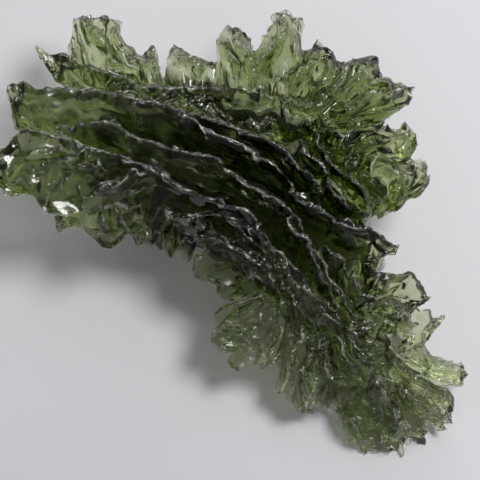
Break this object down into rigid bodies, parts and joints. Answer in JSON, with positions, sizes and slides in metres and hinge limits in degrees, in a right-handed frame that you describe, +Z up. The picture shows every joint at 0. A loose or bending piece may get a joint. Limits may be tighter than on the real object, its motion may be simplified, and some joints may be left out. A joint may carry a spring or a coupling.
{
  "type": "moldavite",
  "caption": "Natural spiny moldavite: a bent piece of bottle-green impact glass with long leaning fins, deep gorges and ragged tips, lying on the worn points of its underside.",
  "frame": {"origin": "under the middle of the stone's bounding box, on the plane that it rests on", "axes": "+Z up from the resting plane; +X along the stone's longest side, from its raised left fan towards its tail; +Y up its face"},
  "size_m": [0.0384, 0.035, 0.0142],
  "materials": {
    "moldavite_glass": "glossy natural bottle-green glass, see-through at its thin edges and nearly black where it is thick"
  },
  "bodies": {
    "root": {"moldavite": "moldavite_glass"}
  },
  "joints": []
}
